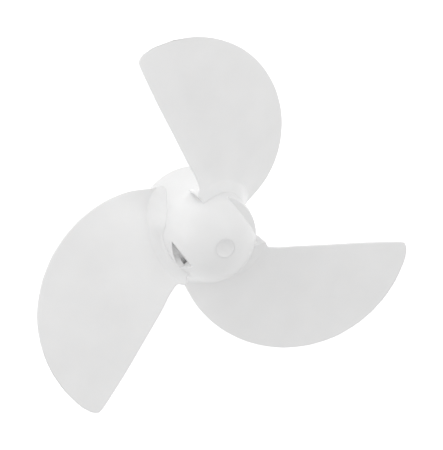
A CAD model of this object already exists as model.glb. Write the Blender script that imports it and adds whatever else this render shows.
"""Looks for the boat propeller: finished blades and nose plug, materials, studio light and camera.

Everything is in metres, in the part's own frame: the shaft's axis is Z and the nose points up.
"""

from math import cos, pi, radians, sin, sqrt

import bmesh
import bpy
from mathutils import Matrix, Vector
from mathutils.kdtree import KDTree


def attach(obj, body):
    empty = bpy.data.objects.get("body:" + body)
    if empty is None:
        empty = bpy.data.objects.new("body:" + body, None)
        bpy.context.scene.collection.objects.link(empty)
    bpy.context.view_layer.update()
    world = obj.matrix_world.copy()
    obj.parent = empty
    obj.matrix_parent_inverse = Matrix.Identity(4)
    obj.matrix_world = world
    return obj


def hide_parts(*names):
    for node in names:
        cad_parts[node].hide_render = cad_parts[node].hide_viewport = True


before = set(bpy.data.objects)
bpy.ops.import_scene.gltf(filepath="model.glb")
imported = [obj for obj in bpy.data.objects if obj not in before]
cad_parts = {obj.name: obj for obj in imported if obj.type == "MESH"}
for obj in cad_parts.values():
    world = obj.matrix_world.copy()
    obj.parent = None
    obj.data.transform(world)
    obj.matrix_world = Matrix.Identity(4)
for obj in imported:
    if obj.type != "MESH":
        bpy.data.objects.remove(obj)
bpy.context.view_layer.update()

MM = 0.001

# ---- camera -------------------------------------------------------------------------------
CAMERA_AZIMUTH = radians(160.0)
CAMERA_ELEVATION = radians(62.55)
CAMERA_ROLL = radians(129.507)
CAMERA_DISTANCE = 1.152
CAMERA_TARGET = Vector((0.0, 0.0, 0.022))
CAMERA_LENS = 212.4
CAMERA_SHIFT = (0.0346, 0.0165)
CAMERA_CLIP_END = 10

# ---- blades, in millimetres ---------------------------------------------------------------
TIP_RADIUS = 92.0
ROOT_RADIUS = 17.0
PITCH = 101.0
BLADE_PLANE_Z = 22.0
BLADE_ANGLES = {"blade_1": 90.0, "blade_2": 210.0, "blade_3": 330.0}
DOME_RADIUS = 20.8
DOME_CENTRE_Z = 24.7
BARREL_FRONT_RADIUS = 24.0
FLARE = BARREL_FRONT_RADIUS - DOME_RADIUS
FLARE_RADIUS = (DOME_CENTRE_Z**2 + FLARE**2) / (2 * FLARE)

# Edges as (radius, degrees from the blade's middle), from the root to the tip.
LEADING_EDGE = (
    (17.0, -66.0),
    (21.0, -60.5),
    (24.0, -56.0),
    (27.3, -49.0),
    (38.3, -36.6),
    (50.7, -24.1),
    (62.5, -12.3),
    (73.8, 0.0),
    (83.2, 12.6),
    (89.0, 24.6),
    (91.4, 34.0),
    (92.0, 40.5),
)
TRAILING_EDGE = (
    (17.0, 41.6),
    (20.0, 42.2),
    (21.5, 44.0),
    (22.7, 45.2),
    (23.5, 44.2),
    (24.3, 41.2),
    (25.1, 39.6),
    (26.2, 39.2),
    (29.0, 39.6),
    (38.3, 42.4),
    (51.4, 44.2),
    (71.5, 45.7),
    (87.0, 46.0),
    (89.4, 45.8),
    (90.8, 44.8),
    (91.6, 43.2),
    (92.0, 40.5),
)

# Half thicknesses: at the rounded edge, and in the middle at the root and at the tip.
EDGE_HALF = 0.5
EDGE_ROUND = 0.55
EDGE_TAPER = 16.0
MIDDLE_HALF = (1.55, 0.95)

# The foot's fillets change along the blade: these pairs are for the middle and for the tail.
FOOT_RISE = (3.2, 0.3)
FOOT_DROP = (2.8, 10.8)
FOOT_TAPER_FROM = 18.0
FOOT_TAPER_TO = 46.0
TAIL_BLOCK_FROM = 0.35
TAIL_BLOCK_SPAN = 0.45

# These pairs are for the trailing half and for the leading half.
FOOT_WIDTH = (4.6, 5.8)
FOOT_HOLLOW = (0.55, 0.8)
FOOT_LEAD_RISE = (0.0, 6.0)
FOOT_LEAD_FROM = -4.0
FOOT_LEAD_SPAN = 24.0

# Towards its leading end the foot closes, down to this share of its width.
FOOT_END = -62.0
FOOT_END_SPAN = 24.0
FOOT_END_WIDTH = 0.4

# Mesh of a blade: rows along the radius, points across the chord.
FOOT_ROWS = 44
FOOT_ROW_STEP = 0.25
MIDDLE_ROW_STEP = 1.2
TIP_ROWS_FROM = 84.0
TIP_ROWS = 26
TIP_CROWDING = 2.2
CHORD_STEPS = 64
OUTLINE_STEPS = 700
MERGE_DISTANCE = 2e-6
DEGENERATE_DISTANCE = 1e-6

# ---- nose plug, in millimetres: (radius, height) from the stem's end to the dish's middle --
PLUG_SEGMENTS = 96
PLUG_PROFILE = (
    (2.50, 39.0),
    (2.58, 39.1),
    (2.58, 42.6),
    (4.25, 42.6),
    (4.30, 42.7),
    (4.30, 44.99),
    (4.20, 45.03),
    (4.02, 45.02),
    (3.75, 44.92),
    (3.35, 44.68),
    (2.75, 44.38),
    (1.90, 44.10),
    (0.95, 43.95),
    (0.15, 43.92),
)


def smooth(x):
    """0 up to x = 0, 1 from x = 1, and a smooth step between."""
    x = min(max(x, 0.0), 1.0)
    return x * x * (3 - 2 * x)


def chord_slope(points, j):
    """Slope of the straight line from point j to the next."""
    return (points[j + 1][1] - points[j][1]) / (points[j + 1][0] - points[j][0])


def slope_at(points, j):
    """Slope of the smooth curve at point j: it never overshoots its points."""
    last = len(points) - 1
    if j in (0, last):
        return chord_slope(points, min(j, last - 1))
    left = chord_slope(points, j - 1)
    right = chord_slope(points, j)
    if left * right <= 0:
        return 0.0
    return 2 * left * right / (left + right)


def curve_at(points, radius):
    """Angle at a radius on an edge given as (radius, angle) points, joined by smooth cubics."""
    i = 0
    while i < len(points) - 2 and radius > points[i + 1][0]:
        i += 1
    r0, a0 = points[i]
    r1, a1 = points[i + 1]
    span = r1 - r0
    t = min(max((radius - r0) / span, 0.0), 1.0)
    m0 = slope_at(points, i) * span
    m1 = slope_at(points, i + 1) * span
    return (
        (2 * t**3 - 3 * t**2 + 1) * a0
        + (t**3 - 2 * t**2 + t) * m0
        + (3 * t**2 - 2 * t**3) * a1
        + (t**3 - t**2) * m1
    )


def hub_radius(z):
    """Outer radius of the hub at height z: a flared barrel below the round nose."""
    if z >= DOME_CENTRE_Z:
        return sqrt(max(DOME_RADIUS**2 - (z - DOME_CENTRE_Z) ** 2, 0.0))
    return DOME_RADIUS + FLARE_RADIUS - sqrt(FLARE_RADIUS**2 - (DOME_CENTRE_Z - z) ** 2)


def along_foot(lag, values):
    """A foot dimension with its first value along the middle and its second at the tail."""
    share = (lag - FOOT_TAPER_FROM) / (FOOT_TAPER_TO - FOOT_TAPER_FROM)
    return values[0] + (values[1] - values[0]) * smooth(share)


def along_lead(lag, values):
    """A foot dimension with its first value on the trailing half, its second on the leading."""
    share = (FOOT_LEAD_FROM - lag) / FOOT_LEAD_SPAN
    return values[0] + (values[1] - values[0]) * smooth(share)


def foot_opening(lag):
    """0 at the foot's leading end, rising to 1 along the rest of the foot."""
    return smooth((lag - FOOT_END) / FOOT_END_SPAN)


def foot_reach(radius, lag, z):
    """How far out on the foot a radius is: 0 on the hub at height z, 1 at the foot's edge."""
    opened = FOOT_END_WIDTH + (1 - FOOT_END_WIDTH) * foot_opening(lag)
    width = along_lead(lag, FOOT_WIDTH) * opened
    return min(max((radius - hub_radius(z)) / width, 0.0), 1.0)


def aft_fillet(reach, lag):
    """Share of the foot's rise: it leaves the hub's wall smoothly and ends in a tight corner."""
    return 1 - reach ** along_lead(lag, FOOT_HOLLOW)


def forward_fillet(reach, lag):
    """Share of the foot's drop: a round fillet, standing out as a block at the tail."""
    fillet = 1 - sqrt(1 - (1 - reach) ** 2)
    block = 1 - smooth((reach - TAIL_BLOCK_FROM) / TAIL_BLOCK_SPAN)
    return fillet + (block - fillet) * along_foot(lag, (0.0, 1.0))


def polar(radius, degrees):
    """The point at this radius and angle, seen along the shaft."""
    return Vector((radius * cos(radians(degrees)), radius * sin(radians(degrees))))


def blade_rows():
    """Radii of the blade's rows of points, closer together at the foot and at the tip."""
    rows = [ROOT_RADIUS + FOOT_ROW_STEP * i for i in range(FOOT_ROWS)]
    while rows[-1] < TIP_ROWS_FROM:
        rows.append(rows[-1] + MIDDLE_ROW_STEP)
    start = rows[-1]
    for i in range(1, TIP_ROWS + 1):
        rows.append(start + (TIP_RADIUS - start) * (1 - (1 - i / TIP_ROWS) ** TIP_CROWDING))
    return rows


def chord_shares(count):
    """Places across the chord, from 0 at the leading edge to 1 at the trailing edge."""
    return [(1 - cos(pi * i / count)) / 2 for i in range(count + 1)]


def outline_tree():
    """The blade's outline seen along the shaft, sampled finely, without its root."""
    length = TIP_RADIUS - ROOT_RADIUS
    radii = [ROOT_RADIUS + length * i / OUTLINE_STEPS for i in range(OUTLINE_STEPS + 1)]
    points = [polar(r, curve_at(LEADING_EDGE, r)) for r in radii]
    points += [polar(r, curve_at(TRAILING_EDGE, r)) for r in reversed(radii)]
    tree = KDTree(len(points))
    for i, point in enumerate(points):
        tree.insert((point.x, point.y, 0), i)
    tree.balance()
    return tree


def foot_extra(radius, lag, z, side):
    """What the foot adds on one face to the blade's half thickness, z being its middle surface."""
    if side > 0:
        rise = along_foot(lag, FOOT_RISE) + along_lead(lag, FOOT_LEAD_RISE) * foot_opening(lag)
        return rise * aft_fillet(foot_reach(radius, lag, z + rise), lag)
    drop = along_foot(lag, FOOT_DROP)
    return drop * forward_fillet(foot_reach(radius, lag, z - drop), lag)


def blade_point(radius, lag, edge_distance, side):
    """A point on the blade's aft face (side 1) or forward face (side -1), the blade along +X."""
    turn = radians(lag)
    lead = PITCH / (2 * pi)
    middle = Vector((radius * cos(turn), radius * sin(turn), BLADE_PLANE_Z + lead * turn))
    normal = Vector((lead * sin(turn), -lead * cos(turn), radius)).normalized()
    share = (radius - DOME_RADIUS) / (TIP_RADIUS - DOME_RADIUS)
    full = MIDDLE_HALF[0] + (MIDDLE_HALF[1] - MIDDLE_HALF[0]) * min(max(share, 0), 1)
    half = EDGE_HALF + (full - EDGE_HALF) * smooth(edge_distance / EDGE_TAPER)
    extra = foot_extra(radius, lag, middle.z, side)
    rounding = min(half + extra, EDGE_ROUND)
    inset = max(1 - edge_distance / rounding, 0.0)
    cut = rounding * (1 - sqrt(1 - inset**2))
    raised = max(half + extra - cut, 0.0)
    along = min(raised, half)
    return middle + side * (normal * along + Vector((0, 0, raised - along)))


def blade_loop(mesh, tree, turn, radius):
    """One closed row of vertices: the aft face from leading to trailing edge, then back."""
    lead = curve_at(LEADING_EDGE, radius)
    trail = curve_at(TRAILING_EDGE, radius)
    aft = []
    forward = []
    for share in chord_shares(CHORD_STEPS):
        lag = lead + (trail - lead) * share
        flat = polar(radius, lag)
        distance = tree.find((flat.x, flat.y, 0))[2]
        if share in (0.0, 1.0):
            distance = 0.0
        aft.append(mesh.verts.new(turn @ blade_point(radius, lag, distance, 1) * MM))
        forward.append(mesh.verts.new(turn @ blade_point(radius, lag, distance, -1) * MM))
    return aft + forward[::-1]


def join_loops(mesh, loops):
    """A band of four-sided faces between each closed row of vertices and the next."""
    for near, far in zip(loops, loops[1:]):
        count = len(near)
        for i in range(count):
            j = (i + 1) % count
            mesh.faces.new((near[i], near[j], far[j], far[i]))


def make_blade(name, angle):
    """A finished blade with its foot, turned to its place on the hub and closed at its root."""
    tree = outline_tree()
    mesh = bmesh.new()
    turn = Matrix.Rotation(radians(angle), 3, "Z")
    loops = [blade_loop(mesh, tree, turn, radius) for radius in blade_rows()]
    join_loops(mesh, loops)
    root = loops[0]
    for i in range(CHORD_STEPS):
        mesh.faces.new((root[i + 1], root[i], root[-1 - i], root[-2 - i]))
    bmesh.ops.remove_doubles(mesh, verts=mesh.verts, dist=MERGE_DISTANCE)
    bmesh.ops.dissolve_degenerate(mesh, edges=mesh.edges, dist=DEGENERATE_DISTANCE)
    bmesh.ops.recalc_face_normals(mesh, faces=mesh.faces)
    return piece_from(mesh, name)


def make_plug():
    """The nose plug: a head on a stem, with a soft lip round a shallow dish."""
    mesh = bmesh.new()
    rings = []
    for radius, z in PLUG_PROFILE:
        ring = []
        for i in range(PLUG_SEGMENTS):
            flat = polar(radius, 360 * i / PLUG_SEGMENTS)
            ring.append(mesh.verts.new((flat.x * MM, flat.y * MM, z * MM)))
        rings.append(ring)
    join_loops(mesh, rings)
    mesh.faces.new(rings[0][::-1])
    mesh.faces.new(rings[-1])
    bmesh.ops.recalc_face_normals(mesh, faces=mesh.faces)
    return piece_from(mesh, "nose_plug_finished")


def piece_from(mesh, name):
    """A smooth-shaded object from a finished mesh."""
    data = bpy.data.meshes.new(name)
    mesh.to_mesh(data)
    mesh.free()
    data.shade_smooth()
    piece = bpy.data.objects.new(name, data)
    bpy.context.collection.objects.link(piece)
    return piece


# ---- materials ----------------------------------------------------------------------------
MOTTLE_SCALE = 60
MOTTLE_DETAIL = 4
MOTTLE_SPREAD = (0.3, 0.7)
GRAIN_DETAIL = 2
GRAIN_STRENGTH = 0.5
SPECULAR = 0.4

PLASTIC_SUBSURFACE = 0.12
PLASTIC_SUBSURFACE_SCALE = 0.003
PLASTIC_SUBSURFACE_RADIUS = (1.0, 0.95, 0.9)


def noise(material, mapping, scale, detail):
    """A noise texture on the mapped coordinates."""
    texture = material.node_tree.nodes.new("ShaderNodeTexNoise")
    texture.inputs["Scale"].default_value = scale
    texture.inputs["Detail"].default_value = detail
    material.node_tree.links.new(mapping.outputs["Vector"], texture.inputs["Vector"])
    return texture


def textured(name, dark, light, gloss, grain, metallic=0.0, stretch=1.0):
    """A material with a mottled colour, a roughness that varies between two values, and a grain.

    The grain is its noise scale and its height in metres.  Stretch packs the textures closer
    along the shaft.
    """
    material = bpy.data.materials.new(name)
    material.use_nodes = True
    nodes = material.node_tree.nodes
    links = material.node_tree.links
    shader = nodes["Principled BSDF"]
    shader.inputs["Metallic"].default_value = metallic
    shader.inputs["Specular IOR Level"].default_value = SPECULAR
    place = nodes.new("ShaderNodeTexCoord")
    mapping = nodes.new("ShaderNodeMapping")
    mapping.inputs["Scale"].default_value = (1, 1, stretch)
    links.new(place.outputs["Object"], mapping.inputs["Vector"])

    mottle = noise(material, mapping, MOTTLE_SCALE, MOTTLE_DETAIL)
    tint = nodes.new("ShaderNodeValToRGB")
    for stop, position, colour in zip(tint.color_ramp.elements, MOTTLE_SPREAD, (dark, light)):
        stop.position = position
        stop.color = (*colour, 1)
    links.new(mottle.outputs["Fac"], tint.inputs["Fac"])
    links.new(tint.outputs["Color"], shader.inputs["Base Color"])

    unevenness = nodes.new("ShaderNodeMapRange")
    unevenness.inputs["To Min"].default_value = gloss[0]
    unevenness.inputs["To Max"].default_value = gloss[1]
    links.new(mottle.outputs["Fac"], unevenness.inputs["Value"])
    links.new(unevenness.outputs["Result"], shader.inputs["Roughness"])

    bump = nodes.new("ShaderNodeBump")
    bump.inputs["Strength"].default_value = GRAIN_STRENGTH
    bump.inputs["Distance"].default_value = grain[1]
    fine = noise(material, mapping, grain[0], GRAIN_DETAIL)
    links.new(fine.outputs["Fac"], bump.inputs["Height"])
    links.new(bump.outputs["Normal"], shader.inputs["Normal"])
    return material


def white_plastic():
    """Satin white moulded plastic, a little translucent."""
    material = textured(
        "white_moulded_plastic",
        dark=(0.81, 0.81, 0.81),
        light=(0.84, 0.84, 0.84),
        gloss=(0.34, 0.46),
        grain=(2200, 0.00001),
    )
    shader = material.node_tree.nodes["Principled BSDF"]
    shader.inputs["Subsurface Weight"].default_value = PLASTIC_SUBSURFACE
    shader.inputs["Subsurface Radius"].default_value = PLASTIC_SUBSURFACE_RADIUS
    shader.inputs["Subsurface Scale"].default_value = PLASTIC_SUBSURFACE_SCALE
    return material


def paint(piece, material):
    """Give a piece this material alone."""
    piece.data.materials.clear()
    piece.data.materials.append(material)


# ---- stage --------------------------------------------------------------------------------
WHITE = (1, 1, 1, 1)
WORLD_STRENGTH = 0.76
FLOOR_Z = -0.0005
FLOOR_SIZE = 3
FLOOR_COLOUR = (0.9, 0.9, 0.9, 1)
FLOOR_ROUGHNESS = 0.9
FLOOR_GLOW = 0.45

# Soft lamps round the camera: steps to its right, up and back, and power in watts.
LAMPS = {
    "left": (-0.9, 0.1, 0.5, 1.5),
    "right": (0.8, 0.4, 0.7, 1.2),
    "top": (-0.1, 0.9, 0.5, 0.3),
}
LAMP_SIZE = 0.5
LAMP_DISTANCE = 0.9


def make_camera():
    """The camera, in its place and rolled.  Gives back its right, up and back."""
    level = Vector((cos(CAMERA_AZIMUTH), sin(CAMERA_AZIMUTH), 0))
    back = level * cos(CAMERA_ELEVATION) + Vector((0, 0, sin(CAMERA_ELEVATION)))
    right = Vector((0, 0, 1)).cross(back).normalized()
    up = back.cross(right)
    turned_right = right * cos(CAMERA_ROLL) + up * sin(CAMERA_ROLL)
    turned_up = back.cross(turned_right)
    data = bpy.data.cameras.new("camera")
    data.lens = CAMERA_LENS
    data.shift_x, data.shift_y = CAMERA_SHIFT
    data.clip_end = CAMERA_CLIP_END
    camera = bpy.data.objects.new("camera", data)
    facing = Matrix((turned_right, turned_up, back)).transposed().to_4x4()
    camera.matrix_world = Matrix.Translation(CAMERA_TARGET + back * CAMERA_DISTANCE) @ facing
    bpy.context.collection.objects.link(camera)
    bpy.context.scene.camera = camera
    return turned_right, turned_up, back


def make_floor():
    """A pale floor that glows a little, just under the part."""
    mesh = bmesh.new()
    bmesh.ops.create_grid(mesh, x_segments=1, y_segments=1, size=FLOOR_SIZE)
    floor = piece_from(mesh, "floor")
    floor.location.z = FLOOR_Z
    material = bpy.data.materials.new("white_floor")
    material.use_nodes = True
    shader = material.node_tree.nodes["Principled BSDF"]
    shader.inputs["Base Color"].default_value = FLOOR_COLOUR
    shader.inputs["Roughness"].default_value = FLOOR_ROUGHNESS
    shader.inputs["Emission Color"].default_value = WHITE
    shader.inputs["Emission Strength"].default_value = FLOOR_GLOW
    paint(floor, material)


def make_light(name, towards, power):
    """A soft lamp that stands off in this direction and shines at the part."""
    data = bpy.data.lights.new(name, "AREA")
    data.size = LAMP_SIZE
    data.energy = power
    lamp = bpy.data.objects.new(name, data)
    direction = towards.normalized()
    lamp.location = CAMERA_TARGET + direction * LAMP_DISTANCE
    lamp.rotation_mode = "QUATERNION"
    lamp.rotation_quaternion = direction.to_track_quat("Z", "Y")
    bpy.context.collection.objects.link(lamp)


def make_world():
    """An even white surround."""
    world = bpy.data.worlds.new("studio")
    world.use_nodes = True
    background = world.node_tree.nodes["Background"]
    background.inputs["Color"].default_value = WHITE
    background.inputs["Strength"].default_value = WORLD_STRENGTH
    bpy.context.scene.world = world


view_right, view_up, view_back = make_camera()
make_world()
make_floor()
for lamp, (across, up, back, power) in LAMPS.items():
    make_light(lamp, view_right * across + view_up * up + view_back * back, power)

plastic = white_plastic()
for node, angle in BLADE_ANGLES.items():
    blade = make_blade(node + "_finished", angle)
    paint(blade, plastic)
    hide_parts(node)
    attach(blade, "propeller")

plug = make_plug()
paint(plug, plastic)
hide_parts("nose_plug")
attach(plug, "propeller")
for node in ("hub_shell", "front_ring"):
    paint(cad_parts[node], plastic)

steel = textured(
    "stainless_steel",
    dark=(0.55, 0.55, 0.56),
    light=(0.64, 0.64, 0.65),
    gloss=(0.22, 0.38),
    grain=(1500, 0.00001),
    metallic=1.0,
    stretch=6,
)
bronze = textured(
    "turned_bronze",
    dark=(0.48, 0.32, 0.16),
    light=(0.60, 0.42, 0.22),
    gloss=(0.24, 0.42),
    grain=(900, 0.00002),
    metallic=1.0,
    stretch=8,
)
acetal = textured(
    "natural_acetal",
    dark=(0.66, 0.64, 0.58),
    light=(0.72, 0.70, 0.64),
    gloss=(0.30, 0.42),
    grain=(1800, 0.00001),
)
rubber = textured(
    "black_rubber",
    dark=(0.022, 0.022, 0.023),
    light=(0.040, 0.040, 0.041),
    gloss=(0.62, 0.82),
    grain=(1300, 0.00004),
)
fitting_materials = {
    "blade_dowels": steel,
    "ring_screws": steel,
    "circlip": steel,
    "thrust_washer": steel,
    "drive_sleeve": bronze,
    "front_bearing": acetal,
    "rear_bearing": acetal,
    "rubber_bush": rubber,
}
for node, material in fitting_materials.items():
    paint(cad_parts[node], material)

bpy.context.scene.view_settings.view_transform = "Standard"
